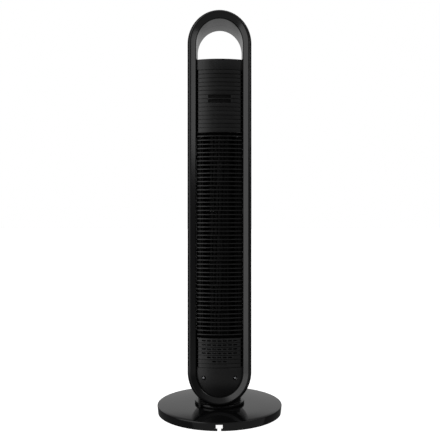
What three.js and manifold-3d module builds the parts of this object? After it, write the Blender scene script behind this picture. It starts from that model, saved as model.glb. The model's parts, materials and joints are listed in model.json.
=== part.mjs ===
// A tower fan on a round base: a stadium-shaped ring with a carrying opening at its top, a cross-flow
// impeller behind horizontal grille bars, and a geared swing drive in the foot of the tower.
// Millimetres, +Z up. The origin is on the floor, under the axis that the tower swings about.
// The air leaves at the front (-Y) and comes in at the back (+Y).
import * as THREE from "three";
import { mergeVertices } from "three/addons/utils/BufferGeometryUtils.js";
import Module from "manifold-3d";

const wasm = await Module();
wasm.setup();

// ---- Driving dimensions ----
const GAP = 0.3; // between pieces that touch
const TURN_GAP = 0.35; // all round a shaft in its bush, flats included

// The ring: two housings that meet at a seam.
const TOWER_TOP = 964.4;
const TOWER_BOTTOM = 25;
const RING_R = 76; // half the tower's width
const END_RISE = 4.4; // how much taller each end of the ring is than a half circle
const TUNNEL_R = 55.2; // half the width of the space inside the ring
const BACK_Y = 52.5;
const FRONT_Y = -57.5;
const SEAM_Y = -9;
const SKIN = 2.4; // wall of a moulded housing
const LOW_CENTRE = TOWER_BOTTOM + END_RISE + RING_R; // height of the centre of the ring's lower end
const HIGH_CENTRE = TOWER_TOP - END_RISE - RING_R;

// The covers inside the ring: bowed sheets with evenly spaced horizontal bars.
const COVER_R = TUNNEL_R - GAP;
const COVER_BOTTOM = LOW_CENTRE - COVER_R - END_RISE;
const BACK_APEX = 49.5; // how far the middle of the back cover stands behind the swing axis
const FRONT_APEX = 53; // and the front cover's middle before it
const COVER_BOW = 10; // how far its sides stand back from its middle
const COVER_THICK = 3.5;
const BAR_PITCH = 9.79;
const BAR_HEIGHT = 2.2;
const FIRST_BAR_Z = 194.9;
const GRILLE_BARS = 49;
const UPPER_RIBS = 15;
const LOWER_RIBS = 7;
const FLOOR_Z = 847; // the bottom of the carrying opening

// The base.
const BASE_R = 150.9;
const BASE_FOOT_R = 149.5;
const BASE_LIFT = 1;
const BASE_TOP = 19.7; // at the rim
const BASE_CROWN = 22.3; // round the post; the top slopes very gently between them
const CROWN_R = 62;
const COLLAR_R = 55.5;
const COLLAR_TOP = 23.3;
const TURNTABLE_R = 60.3;
const TURNTABLE_TOP = 29;
const CRADLE_R = 52; // the turntable's upright wall that the ring's round foot sits in
const POST_R = 9;

// The impeller and its motor.
const IMPELLER_Y = -3;
const IMPELLER_R = 40;
const IMPELLER_BOTTOM = 185.9;
const SEGMENT_PITCH = 60.3;
const SEGMENTS = 8;
const BLADES = 10;
const SHAFT_R = 4;

// The swing drive: a gear sector fixed to the post, and a pinion that the tower carries.
const MODULE = 1.25;
const SECTOR_TEETH = 40;
const PINION_TEETH = 12;
const GEAR_Z = 58;
const GEAR_THICK = 5;
const BACKLASH = 0.3;

// ---- Solids from three.js geometry ----
function solidOf(geometry) {
  const bare = geometry.clone();
  bare.deleteAttribute("normal");
  bare.deleteAttribute("uv");
  const merged = mergeVertices(bare, 1e-4);
  return new wasm.Manifold(
    new wasm.Mesh({
      numProp: 3,
      vertProperties: new Float32Array(merged.attributes.position.array),
      triVerts: new Uint32Array(merged.index.array),
    }),
  );
}

function geometryOf(solid) {
  const mesh = solid.getMesh();
  const geometry = new THREE.BufferGeometry();
  geometry.setAttribute("position", new THREE.BufferAttribute(mesh.vertProperties, mesh.numProp));
  geometry.setIndex(new THREE.BufferAttribute(mesh.triVerts, 1));
  geometry.computeVertexNormals();
  return geometry;
}

function box(x0, x1, y0, y1, z0, z1) {
  const geometry = new THREE.BoxGeometry(x1 - x0, y1 - y0, z1 - z0);
  geometry.translate((x0 + x1) / 2, (y0 + y1) / 2, (z0 + z1) / 2);
  return solidOf(geometry);
}

// A cylinder that stands along Z.
function post(x, y, z0, z1, r, sides = 24) {
  const geometry = new THREE.CylinderGeometry(r, r, z1 - z0, sides);
  geometry.rotateX(Math.PI / 2);
  geometry.translate(x, y, (z0 + z1) / 2);
  return solidOf(geometry);
}

// A cylinder that lies along Y.
function barrel(x, y0, y1, z, r, sides = 24) {
  const geometry = new THREE.CylinderGeometry(r, r, y1 - y0, sides);
  geometry.translate(x, (y0 + y1) / 2, z);
  return solidOf(geometry);
}

// A profile of [radius, height] pairs, counter-clockwise, turned about a vertical axis.
function turned(profile, x = 0, y = 0, sides = 32) {
  const closed = [...profile, profile[0]].map(([r, z]) => new THREE.Vector2(r, z));
  const geometry = new THREE.LatheGeometry(closed, sides);
  geometry.rotateX(Math.PI / 2);
  geometry.translate(x, y, 0);
  return solidOf(geometry);
}

function ringOf(inner, outer, z0, z1, x = 0, y = 0, sides = 32) {
  return turned([[inner, z0], [outer, z0], [outer, z1], [inner, z1]], x, y, sides);
}

// A plan outline in X and Y, raised from z0 to z1.
function raised(shape, z0, z1, curveSegments = 12) {
  const geometry = new THREE.ExtrudeGeometry(shape, { depth: z1 - z0, bevelEnabled: false, curveSegments });
  geometry.translate(0, 0, z0);
  return solidOf(geometry);
}

// A front outline in X and Z, run from y0 to y1.
function run(shape, y0, y1, curveSegments = 12) {
  const geometry = new THREE.ExtrudeGeometry(shape, { depth: y1 - y0, bevelEnabled: false, curveSegments });
  geometry.rotateX(Math.PI / 2);
  geometry.translate(0, y1, 0);
  return solidOf(geometry);
}

const union = (solids) => wasm.Manifold.union(solids);

// ---- The stadium ring ----
const END_STEPS = 12; // facets of each round end

// The stadium's outline at a distance r from the line between the centres of its ends.
function stadiumPoints(r) {
  const points = [];
  for (let end = 0; end < 2; end++)
    for (let step = 0; step <= END_STEPS; step++) {
      const angle = Math.PI * (end + step / END_STEPS);
      const centre = end === 0 ? HIGH_CENTRE : LOW_CENTRE;
      points.push(new THREE.Vector2(r * Math.cos(angle), centre + (r + END_RISE) * Math.sin(angle)));
    }
  return points;
}

const stadium = (r) => new THREE.Shape(stadiumPoints(r));

// Sweeps a closed section of [distance, y] pairs round the stadium.
function sweptRing(section) {
  const loops = section.map(([r]) => stadiumPoints(r));
  const around = loops[0].length;
  const positions = [];
  loops.forEach((loop, i) => loop.forEach((p) => positions.push(p.x, section[i][1], p.y)));
  const index = [];
  for (let i = 0; i < section.length; i++)
    for (let j = 0; j < around; j++) {
      const a = i * around + j;
      const b = i * around + ((j + 1) % around);
      const c = ((i + 1) % section.length) * around + j;
      const d = ((i + 1) % section.length) * around + ((j + 1) % around);
      index.push(a, c, b, b, c, d);
    }
  const geometry = new THREE.BufferGeometry();
  geometry.setAttribute("position", new THREE.Float32BufferAttribute(positions, 3));
  geometry.setIndex(index);
  return solidOf(geometry);
}

// Openings for the turntable's hub and for the cord's strain relief, through the foot of the ring.
const HUB_R = 13;
const GLAND_X = 46.4;
const GLAND_Y = 45;
const GLAND_R = 3.4;
const hubOpening = () => post(0, 0, 20, 56, HUB_R + GAP);
const glandOpening = () => post(GLAND_X, GLAND_Y, 20, 60, GLAND_R + GAP, 16);

// The back housing: round outside, a crest, and a face that slopes in to the covers.
function rearHousing() {
  const seam = SEAM_Y + GAP / 2;
  const inside = TUNNEL_R + SKIN;
  const outside = RING_R - SKIN;
  const crest = RING_R - 8;
  const channel = sweptRing([
    [RING_R, seam],
    [RING_R, BACK_Y - 9],
    [RING_R - 1.2, BACK_Y - 4.5],
    [RING_R - 4, BACK_Y - 1.2],
    [crest, BACK_Y],
    [TUNNEL_R + 1.2, BACK_Y - 7.2],
    [TUNNEL_R, BACK_Y - 8.4],
    [TUNNEL_R, seam],
    [inside, seam],
    [inside, BACK_Y - 10],
    [crest, BACK_Y - 2.8],
    [outside, BACK_Y - 9],
    [outside, seam],
  ]);
  return channel.subtract(hubOpening()).subtract(glandOpening());
}

function frontHousing() {
  const seam = SEAM_Y - GAP / 2;
  const inside = TUNNEL_R + SKIN;
  const outside = RING_R - SKIN;
  const crest = RING_R - 8;
  const channel = sweptRing([
    [RING_R, seam],
    [outside, seam],
    [outside, FRONT_Y + 9],
    [crest, FRONT_Y + 2.8],
    [inside, FRONT_Y + 4.6],
    [inside, seam],
    [TUNNEL_R, seam],
    [TUNNEL_R, FRONT_Y + 3],
    [TUNNEL_R + 2, FRONT_Y + 1],
    [crest, FRONT_Y],
    [RING_R - 4, FRONT_Y + 1.2],
    [RING_R - 1.2, FRONT_Y + 4.5],
    [RING_R, FRONT_Y + 9],
  ]);
  return channel.subtract(hubOpening());
}

// ---- The bowed covers ----
const BOW_R = (COVER_R ** 2 + COVER_BOW ** 2) / (2 * COVER_BOW);
const BOW_STEPS = 2; // facets across half a cover

// A line across a cover, set back by inset from its outer surface, at the back (side 1) or the front (-1).
function bowLine(side, halfWidth, inset) {
  const apex = side > 0 ? BACK_APEX : FRONT_APEX;
  const points = [];
  for (let step = -BOW_STEPS; step <= BOW_STEPS; step++) {
    const x = (halfWidth * step) / BOW_STEPS;
    points.push(new THREE.Vector2(x, side * (apex - BOW_R + Math.sqrt((BOW_R - inset) ** 2 - x ** 2))));
  }
  return points;
}

// A bowed sheet between two insets, from z0 to z1.
function bowedSheet(side, z0, z1, inset0, inset1, halfWidth = COVER_R) {
  const outer = bowLine(side, halfWidth, inset0);
  const inner = bowLine(side, halfWidth, inset1).reverse();
  return raised(new THREE.Shape([...outer, ...inner]), z0, z1);
}

const barZ = (n) => FIRST_BAR_Z + BAR_PITCH * n;

// The windows between one bar and the next, from bar n0 to bar n1, each between x0 and x1.
function windows(n0, n1, x0, x1) {
  const found = [];
  for (let n = n0; n < n1; n++)
    found.push(box(x0, x1, 20, 60, barZ(n) + BAR_HEIGHT / 2, barZ(n + 1) - BAR_HEIGHT / 2));
  return found;
}

const RAIL = 1.2; // the grille's side rails
const RIB_END = 50.2; // where the raised ribs stop short of the rails
const GROOVE = 1;
const UNDERCUT_R = 200; // radius that the foot of the back cover curls under on
const UNDERCUT_Z = 100;
const SCREW_X = 37.3;
const SCREW_Z = 91.4;
const SCREW_SEAT_Y = 39.6;
const PLAQUE_HALF = 26.8; // a blank plaque sunk into two ribs
const PLAQUE_BAR = 57; // the bar between its two strips
const PLAQUE_DEPTH = 1.4;

// Grooves along the bars between ribs, cut into the outer face.
function grooves(n0, n1) {
  const found = [];
  for (let n = n0; n <= n1; n++) {
    const groove = bowedSheet(1, barZ(n) - 0.8, barZ(n) + 0.8, -1, GROOVE, COVER_R + 0.5);
    const bridge = box(-PLAQUE_HALF, PLAQUE_HALF, 20, 60, barZ(n) - 1, barZ(n) + 1);
    found.push(n === PLAQUE_BAR ? groove.subtract(bridge) : groove);
  }
  return found;
}

function plaque() {
  const strip = (n) => [barZ(n) + BAR_HEIGHT / 2, barZ(n + 1) - BAR_HEIGHT / 2];
  return [PLAQUE_BAR - 1, PLAQUE_BAR].map((n) => bowedSheet(1, ...strip(n), -1, PLAQUE_DEPTH, PLAQUE_HALF));
}

// Vent slots over the motor: full rows, then rows that narrow to a point.
function motorVents() {
  const perRow = [7, 7, 7, 7, 5, 3];
  const found = [];
  perRow.forEach((count, row) => {
    const z = barZ(-1.5 - row);
    for (let i = 0; i < count; i++) {
      const x = (i - (count - 1) / 2) * 12.4;
      found.push(box(x - 4.3, x + 4.3, 30, 60, z - 1.2, z + 1.2));
    }
  });
  return found;
}

// The back cover: ribbed panel above, open bars, vented motor cover, and a plain foot with two screws.
function rearGrille() {
  const top = bowedSheet(1, barZ(-LOWER_RIBS - 1), FLOOR_Z, 0, COVER_THICK);
  const thickFoot = bowedSheet(1, COVER_BOTTOM, barZ(-LOWER_RIBS - 1) + 0.5, 0, 14);
  const undercut = (r) => {
    const geometry = new THREE.CylinderGeometry(r, r, 2 * COVER_R + 2, 160);
    geometry.rotateZ(Math.PI / 2);
    geometry.translate(0, BACK_APEX - UNDERCUT_R, UNDERCUT_Z);
    return solidOf(geometry);
  };
  const hollow = bowedSheet(1, 0, UNDERCUT_Z + 40, COVER_THICK, 30).intersect(undercut(UNDERCUT_R - COVER_THICK));
  const foot = thickFoot.intersect(undercut(UNDERCUT_R)).subtract(hollow);
  const sides = [];
  for (const side of [-1, 1]) {
    const x = [side * RIB_END, side * (COVER_R - RAIL)].sort((a, b) => a - b);
    sides.push(...windows(GRILLE_BARS, GRILLE_BARS + UPPER_RIBS, ...x));
    sides.push(...windows(-LOWER_RIBS - 1, -1, ...x));
    const screw = side * SCREW_X;
    sides.push(barrel(screw, SCREW_SEAT_Y, 60, SCREW_Z, 5.2, 16), barrel(screw, 20, 60, SCREW_Z, 1.9, 12));
  }
  const open = windows(-1, GRILLE_BARS, -COVER_R + RAIL, COVER_R - RAIL);
  return union([top, foot])
    .intersect(run(stadium(COVER_R), 20, 60))
    .subtract(union([...open, ...sides, ...motorVents(), ...plaque()]))
    .subtract(union([...grooves(GRILLE_BARS + 1, GRILLE_BARS + UPPER_RIBS), ...grooves(-LOWER_RIBS - 1, -2)]));
}

// Upright ribs and side strips behind the back bars.
function inletGuide() {
  const z0 = barZ(-1) + 2;
  const z1 = barZ(GRILLE_BARS) - 2;
  const inset = COVER_THICK + GAP;
  const sheet = bowedSheet(1, z0, z1, inset, inset + 3, COVER_R - 0.4);
  const openings = [];
  const edges = [-45.5, -40, -20, 0, 20, 40, 45.5];
  for (let i = 0; i + 1 < edges.length; i++) {
    const left = edges[i] + (i === 0 ? 0 : 1);
    const right = edges[i + 1] - (i === edges.length - 2 ? 0 : 1);
    openings.push(box(left, right, 20, 60, z0 + 5, z1 - 5));
  }
  return sheet.subtract(union(openings));
}

// The air leaves between upright louvres, stiffened by cross bars.
const LOUVRES = 10;
const LOUVRE_ROWS = 4;

function frontGrille() {
  const z0 = barZ(-1) + GAP / 2;
  const z1 = barZ(GRILLE_BARS) - GAP / 2;
  const sheet = bowedSheet(-1, z0, z1, 0, COVER_THICK);
  const wide = (2 * (COVER_R - 5)) / LOUVRES;
  const tall = (z1 - z0 - 8) / LOUVRE_ROWS;
  const open = [];
  for (let column = 0; column < LOUVRES; column++)
    for (let row = 0; row < LOUVRE_ROWS; row++) {
      const x = -COVER_R + 5 + wide * column;
      const z = z0 + 4 + tall * row;
      open.push(box(x + 1, x + wide - 1, -60, -20, z + 1.5, z + tall - 1.5));
    }
  return sheet.subtract(union(open));
}

// ---- Controls ----
const BUTTONS = ["power", "speed", "timer", "swing"];
const BUTTON_R = 7;
const BUTTON_DEEP = 11.5;
const BUTTON_Z = (i) => 776 - 22 * i;
const LENS_HALF = 19;
const LENS_Z = [800, 828];

function controlPanel() {
  const sheet = bowedSheet(-1, barZ(GRILLE_BARS) + GAP / 2, FLOOR_Z, 0, COVER_THICK);
  const lens = box(-LENS_HALF - GAP, LENS_HALF + GAP, -60, -20, LENS_Z[0] - GAP, LENS_Z[1] + GAP);
  const holes = BUTTONS.map((_, i) => barrel(0, -60, -20, BUTTON_Z(i), BUTTON_R + TURN_GAP));
  return sheet.subtract(union([lens, ...holes]));
}

const displayLens = () => bowedSheet(-1, ...LENS_Z, 0.2, 2.2, LENS_HALF);

// A cap that stands 1 mm proud, a skirt behind the panel, and a stem that presses the board's switch.
function button(i) {
  const profile = [
    [0.01, 0],
    [BUTTON_R, 0],
    [BUTTON_R, COVER_THICK + 2.3],
    [BUTTON_R + 1.5, COVER_THICK + 2.3],
    [BUTTON_R + 1.5, COVER_THICK + 3.8],
    [2, COVER_THICK + 3.8],
    [2, BUTTON_DEEP],
    [0.01, BUTTON_DEEP],
  ];
  const geometry = new THREE.LatheGeometry([...profile, profile[0]].map(([r, y]) => new THREE.Vector2(r, y)), 14);
  geometry.translate(0, -FRONT_APEX - 1, BUTTON_Z(i));
  return solidOf(geometry);
}

// ---- The rest of the tower's body ----
const FILLET = 5;

// The floor of the carrying opening, between the two covers, with a sloped corner at each side.
function handleFloor() {
  const inset = COVER_THICK + GAP;
  const back = bowLine(1, COVER_R, inset);
  const front = bowLine(-1, COVER_R, inset).reverse();
  const floor = raised(new THREE.Shape([...back, ...front]), FLOOR_Z - 2.5, FLOOR_Z);
  const fillets = [-1, 1].map((side) => {
    const wall = side * COVER_R;
    const corner = [[wall, FLOOR_Z - 1], [wall, FLOOR_Z + FILLET], [wall - side * FILLET, FLOOR_Z - 0.1]];
    const shape = new THREE.Shape(corner.map(([x, z]) => new THREE.Vector2(x, z)));
    return run(shape, -34, 34);
  });
  return union([floor, ...fillets]);
}

function lowerFrontPanel() {
  const sheet = bowedSheet(-1, COVER_BOTTOM, barZ(-1) - GAP / 2, 0, COVER_THICK);
  return sheet.intersect(run(stadium(COVER_R), -60, -20));
}

// A flat plate across the tunnel with round holes of [x, y, radius].
function crossPlate(halfWidth, y0, y1, z0, z1, holes) {
  const plate = box(-halfWidth, halfWidth, y0, y1, z0, z1);
  return plate.subtract(union(holes.map(([x, y, r]) => post(x, y, z0 - 1, z1 + 1, r))));
}

// A plate curved about the impeller's axis, between two angles in degrees.
function curvedWall(r0, r1, from, to, steps) {
  const line = (r) =>
    Array.from({ length: steps + 1 }, (_, i) => {
      const angle = THREE.MathUtils.degToRad(from + ((to - from) * i) / steps);
      return new THREE.Vector2(r(i / steps) * Math.cos(angle), IMPELLER_Y + r(i / steps) * Math.sin(angle));
    });
  const radius = (share) => r0 + (r1 - r0) * share;
  const outline = [...line((share) => radius(share) + 1.5), ...line(radius).reverse()];
  return raised(new THREE.Shape(outline), IMPELLER_BOTTOM + 3, IMPELLER_BOTTOM + SEGMENTS * SEGMENT_PITCH - 2);
}

function lowerBrace() {
  const bar = box(-50, 50, 22, 26, SCREW_Z - 4, SCREW_Z + 4);
  const bosses = [-SCREW_X, SCREW_X].map((x) => barrel(x, 25.5, 33, SCREW_Z, 4, 16));
  const holes = [-SCREW_X, SCREW_X].map((x) => barrel(x, 15, 40, SCREW_Z, 1.5 + GAP, 12));
  return union([bar, ...bosses]).subtract(union(holes));
}

function rearScrew(side) {
  const seat = SCREW_SEAT_Y + GAP;
  const head = barrel(side * SCREW_X, seat, seat + 2.4, SCREW_Z, 3.1, 16);
  const shank = barrel(side * SCREW_X, 24, seat + 0.1, SCREW_Z, 1.5, 12);
  const driver = (angle) => {
    const slot = new THREE.BoxGeometry(4, 3, 0.8);
    slot.rotateY(angle);
    slot.translate(side * SCREW_X, seat + 3, SCREW_Z);
    return solidOf(slot);
  };
  return union([head, shank]).subtract(union([driver(0), driver(Math.PI / 2)]));
}

function cordGland() {
  return turned([[0.01, 22.7], [2.8, 22.7], [GLAND_R, 24.5], [GLAND_R, 52], [0.01, 52]], GLAND_X, GLAND_Y, 16);
}

// A flange with an upright wall, both cut to the ring's round foot, and the hub that turns on the post.
function turntable() {
  const bottom = COLLAR_TOP + GAP;
  const inner = POST_R + TURN_GAP;
  const cradle = turned([
    [inner, bottom],
    [TURNTABLE_R - 1, bottom],
    [TURNTABLE_R, bottom + 1],
    [TURNTABLE_R, TURNTABLE_TOP - 0.8],
    [TURNTABLE_R - 0.8, TURNTABLE_TOP],
    [CRADLE_R, TURNTABLE_TOP],
    [CRADLE_R, 50],
    [inner, 50],
  ], 0, 0, 40);
  const hub = ringOf(inner, HUB_R, bottom, GEAR_Z - 1);
  return cradle.subtract(run(stadium(RING_R + GAP), -70, 70)).add(hub);
}

// ---- Motor and impeller ----
function impellerSegment(index) {
  const z0 = IMPELLER_BOTTOM + SEGMENT_PITCH * index;
  const disc = ringOf(8, IMPELLER_R, z0, z0 + 2, 0, IMPELLER_Y, 20);
  const blades = [];
  for (let i = 0; i < BLADES; i++) {
    const blade = new THREE.BoxGeometry(10, 1.2, SEGMENT_PITCH - GAP - 1.5);
    blade.rotateZ(THREE.MathUtils.degToRad(35));
    blade.translate(IMPELLER_R - 5.2, 0, z0 + (SEGMENT_PITCH - GAP + 1.5) / 2);
    blade.rotateZ((2 * Math.PI * (i + 0.5)) / BLADES);
    blade.translate(0, IMPELLER_Y, 0);
    blades.push(solidOf(blade));
  }
  return union([disc, ...blades]);
}

const impellerTop = IMPELLER_BOTTOM + SEGMENT_PITCH * SEGMENTS;

function endDisc() {
  const profile = [
    [SHAFT_R + GAP, impellerTop],
    [IMPELLER_R, impellerTop],
    [IMPELLER_R, impellerTop + 2],
    [8, impellerTop + 2],
    [8, impellerTop + 5],
    [SHAFT_R + GAP, impellerTop + 5],
  ];
  return turned(profile, 0, IMPELLER_Y, 20);
}

// A motor bell: a cup whose floor is at z and whose rim is at zRim, above or below it.
function bell(z, zRim) {
  const inward = Math.sign(zRim - z) * 2;
  const profile = [
    [SHAFT_R + TURN_GAP, z],
    [37, z],
    [37, zRim],
    [34.5, zRim],
    [34.5, z + inward],
    [SHAFT_R + TURN_GAP, z + inward],
  ];
  return turned(inward > 0 ? profile : profile.reverse(), 0, IMPELLER_Y, 24);
}

// ---- Swing gears: involute teeth at a common module ----
// Half a tooth's angular width at radius r, for a gear of this pitch radius.
function toothHalfAngle(r, pitchR, teeth) {
  const base = pitchR * Math.cos(THREE.MathUtils.degToRad(20));
  const involute = (radius) => {
    const a = Math.acos(Math.min(1, base / radius));
    return Math.tan(a) - a;
  };
  const atPitch = Math.PI / 2 / teeth - BACKLASH / 4 / pitchR;
  return atPitch + involute(pitchR) - involute(Math.max(r, base));
}

// The outline of teeth number first to last, round the origin, with tooth 0 centred on the -Y axis.
function gearPoints(teeth, first, last) {
  const pitchR = (MODULE * teeth) / 2;
  const root = pitchR - 1.25 * MODULE;
  const tip = pitchR + 0.85 * MODULE;
  const radii = [root, pitchR - 0.5 * MODULE, pitchR + 0.2 * MODULE, tip];
  const points = [];
  const at = (r, angle) => points.push(new THREE.Vector2(r * Math.sin(angle), -r * Math.cos(angle)));
  for (let tooth = first; tooth <= last; tooth++) {
    const centre = (2 * Math.PI * tooth) / teeth;
    for (const r of radii) at(r, centre - toothHalfAngle(r, pitchR, teeth));
    for (const r of [...radii].reverse()) at(r, centre + toothHalfAngle(r, pitchR, teeth));
  }
  return points;
}

const SECTOR_PITCH_R = (MODULE * SECTOR_TEETH) / 2;
const GEAR_CENTRES = SECTOR_PITCH_R + (MODULE * PINION_TEETH) / 2;

function sectorGear() {
  const last = 6;
  const rim = gearPoints(SECTOR_TEETH, -last, last);
  const back = (side) => new THREE.Vector2(side * 12, 8);
  const outline = new THREE.Shape([...rim, back(1), back(-1)]);
  const gear = raised(outline, GEAR_Z, GEAR_Z + GEAR_THICK).add(post(0, 0, GEAR_Z, GEAR_Z + GEAR_THICK, 14));
  return gear.subtract(post(0, 0, GEAR_Z - 1, GEAR_Z + GEAR_THICK + 1, POST_R + GAP));
}

function drivePinion() {
  const halfPitch = Math.PI / PINION_TEETH;
  const teeth = gearPoints(PINION_TEETH, 0, PINION_TEETH - 1);
  // Turned so that a gap faces the sector, which lies on the pinion's +Y side.
  const turn = Math.PI + halfPitch;
  const turnedTeeth = teeth.map((p) => p.clone().rotateAround(new THREE.Vector2(), turn));
  const gear = raised(new THREE.Shape(turnedTeeth), GEAR_Z - 0.5, GEAR_Z + GEAR_THICK + 0.5);
  return gear.add(post(0, 0, GEAR_Z, GEAR_Z + 12.4, 2.5, 12)).translate([0, -GEAR_CENTRES, 0]);
}

const OSC_PLATE_Z = GEAR_Z + 10;

// ---- The base ----
const NOTCH_HALF = 7.5;
const NOTCH_MOUTH_HALF = 4.1;
const NOTCH_Z = [6.1, 15.2];
const CHANNEL_HALF = 12; // the cord's way under the base
const BASE_SCREW_R = 134;
const BASE_SCREW_ANGLES = [30, 150, 270];
const FOOT_R = 126;
const FOOT_ANGLES = [45, 135, 225, 315];
const onCircle = (r, degrees) => {
  const angle = THREE.MathUtils.degToRad(degrees);
  return [r * Math.cos(angle), r * Math.sin(angle)];
};

function baseCover() {
  const shell = turned([
    [POST_R + GAP, BASE_TOP - 3],
    [BASE_R - 4, BASE_TOP - 3],
    [BASE_FOOT_R - 3, BASE_LIFT],
    [BASE_FOOT_R, BASE_LIFT],
    [BASE_R, BASE_TOP - 0.8],
    [BASE_R - 0.8, BASE_TOP],
    [CROWN_R, BASE_CROWN],
    [POST_R + GAP, BASE_CROWN],
  ], 0, 0, 48);
  const bosses = BASE_SCREW_ANGLES.map((a) => post(...onCircle(BASE_SCREW_R, a), 3.8, BASE_TOP - 2, 4, 12));
  const holes = BASE_SCREW_ANGLES.map((a) => post(...onCircle(BASE_SCREW_R, a), 3, 14, 1.8, 10));
  const notch = box(-NOTCH_HALF, NOTCH_HALF, 140, 160, ...NOTCH_Z);
  const mouth = box(-NOTCH_MOUTH_HALF, NOTCH_MOUTH_HALF, 140, 160, 0, NOTCH_Z[0] + 1);
  return union([shell, ...bosses]).subtract(union([...holes, notch, mouth]));
}

function basePlate() {
  const disc = ringOf(16, BASE_FOOT_R - 3.6, BASE_LIFT + 0.3, BASE_LIFT + 2.3, 0, 0, 40);
  const holes = [
    ...BASE_SCREW_ANGLES.map((a) => post(...onCircle(BASE_SCREW_R, a), 0, 5, 1.8, 10)),
    ...FOOT_ANGLES.map((a) => post(...onCircle(FOOT_R, a), 0, 5, 3.3, 10)),
  ];
  return disc.subtract(union([...holes, box(-CHANNEL_HALF, CHANNEL_HALF, 92, 160, 0, 5)]));
}

function baseWeight() {
  const ring = ringOf(42, 118, 5.4, 14.6, 0, 0, 40);
  return ring.subtract(box(-CHANNEL_HALF, CHANNEL_HALF, 0, 160, 0, 20));
}

function foot(angle) {
  const profile = [[0.01, 0], [8.6, 0], [9, 1], [2.9, 1], [2.9, 4.4], [0.01, 4.4]];
  return turned(profile, ...onCircle(FOOT_R, angle), 12);
}

function baseScrew(angle) {
  const [x, y] = onCircle(BASE_SCREW_R, angle);
  return post(x, y, 0.2, BASE_LIFT, 3, 12).add(post(x, y, 0.5, 12, 1.4, 10));
}

// ---- Assembly ----
const group = new THREE.Group();

const FINISHES = {
  gloss: { color: 0x0a0a0b, roughness: 0.08, metalness: 0 },
  satin: { color: 0x131314, roughness: 0.3, metalness: 0 },
  fine: { color: 0x161617, roughness: 0.42, metalness: 0 },
  inner: { color: 0x101011, roughness: 0.55, metalness: 0 },
  rubber: { color: 0x0c0c0c, roughness: 0.85, metalness: 0 },
  steel: { color: 0xb4b6b8, roughness: 0.3, metalness: 1 },
  iron: { color: 0x3a3a3c, roughness: 0.7, metalness: 0.6 },
  nylon: { color: 0xd9d6cc, roughness: 0.5, metalness: 0 },
  board: { color: 0x14402a, roughness: 0.5, metalness: 0 },
  lens: { color: 0x050507, roughness: 0.04, metalness: 0 },
};

function add(name, solid, finish) {
  const mesh = new THREE.Mesh(geometryOf(solid), new THREE.MeshStandardMaterial(FINISHES[finish]));
  mesh.name = name;
  group.add(mesh);
}

add("base_cover", baseCover(), "gloss");
add("base_plate", basePlate(), "inner");
add("base_weight", baseWeight(), "iron");
FOOT_ANGLES.forEach((angle, i) => add(`foot_${i + 1}`, foot(angle), "rubber"));
BASE_SCREW_ANGLES.forEach((angle, i) => add(`base_screw_${i + 1}`, baseScrew(angle), "steel"));
add("pivot_post", turned([[5, 12.4], [24, 12.4], [24, 16.4], [POST_R, 16.4], [POST_R, 67], [5, 67]], 0, 0, 24), "steel");
add("neck_collar", ringOf(30, COLLAR_R, BASE_CROWN + GAP, COLLAR_TOP, 0, 0, 40), "satin");
add("thrust_washer", ringOf(12, 27, BASE_CROWN + GAP, COLLAR_TOP, 0, 0, 24), "nylon");
add("sector_gear", sectorGear(), "nylon");
add("post_clip", ringOf(POST_R + GAP, 13, 63.6, 65.6, 0, 0, 20), "steel");

add("turntable", turntable(), "satin");
add("rear_housing", rearHousing(), "satin");
add("front_housing", frontHousing(), "satin");
add("rear_grille", rearGrille(), "fine");
add("inlet_guide", inletGuide(), "inner");
add("front_grille", frontGrille(), "fine");
add("control_panel", controlPanel(), "gloss");
add("display_lens", displayLens(), "lens");
add("lower_front_panel", lowerFrontPanel(), "fine");
add("handle_floor", handleFloor(), "satin");
add("control_board", box(-24, 24, -41.2, -39.6, 694, 834), "board");
add("power_board", box(-40, 40, 8, 9.6, 700, 800), "board");
add("capacitor", box(-18, 18, 12, 28, 705, 735), "inner");
add("top_bearing_bracket", crossPlate(54.8, -33.5, 33.5, 677, 680, [[0, IMPELLER_Y, 9 + GAP]]), "inner");
add("top_bush", ringOf(SHAFT_R + TURN_GAP, 9, 675.5, 681.5, 0, IMPELLER_Y, 20), "rubber");
add("motor_bracket", crossPlate(54.8, -33.5, 33.5, 168, 171, [[0, IMPELLER_Y, 12]]), "inner");
add("motor_stator", ringOf(19.8, 38, 118, 152, 0, IMPELLER_Y, 24), "iron");
add("motor_upper_bell", bell(167.7, 152.3), "steel");
add("motor_lower_bell", bell(102.5, 117.7), "steel");
add("swing_plate", crossPlate(40.5, -40, 34, OSC_PLATE_Z, OSC_PLATE_Z + 2, [[0, -GEAR_CENTRES, 3]]), "inner");
add("swing_motor", post(0, -22, OSC_PLATE_Z + 2.7, OSC_PLATE_Z + 20, 21, 24), "steel");
add("lower_brace", lowerBrace(), "inner");
add("rear_screw_left", rearScrew(1), "steel");
add("rear_screw_right", rearScrew(-1), "steel");
add("scroll_wall", curvedWall(42.5, 54, 150, 220, 6), "inner");
add("vortex_wall", curvedWall(42.5, 45, -50, 8, 5), "inner");
add("cord_gland", cordGland(), "rubber");

for (let i = 0; i < SEGMENTS; i++) add(`impeller_segment_${i + 1}`, impellerSegment(i), "inner");
add("impeller_end_disc", endDisc(), "inner");
add("top_shaft", post(0, IMPELLER_Y, impellerTop - 6, 683, SHAFT_R, 20), "steel");
add("motor_shaft", post(0, IMPELLER_Y, 98, IMPELLER_BOTTOM + 1, SHAFT_R, 20), "steel");
add("motor_rotor", ringOf(SHAFT_R + GAP, 19, 119, 151, 0, IMPELLER_Y, 24), "iron");
add("impeller_hub", ringOf(SHAFT_R + GAP, 7.6, 173, IMPELLER_BOTTOM + 1.5, 0, IMPELLER_Y, 20), "rubber");

add("drive_pinion", drivePinion(), "nylon");
BUTTONS.forEach((name, i) => add(`${name}_button`, button(i), "satin"));

export default group;
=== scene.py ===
import json
import math

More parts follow.
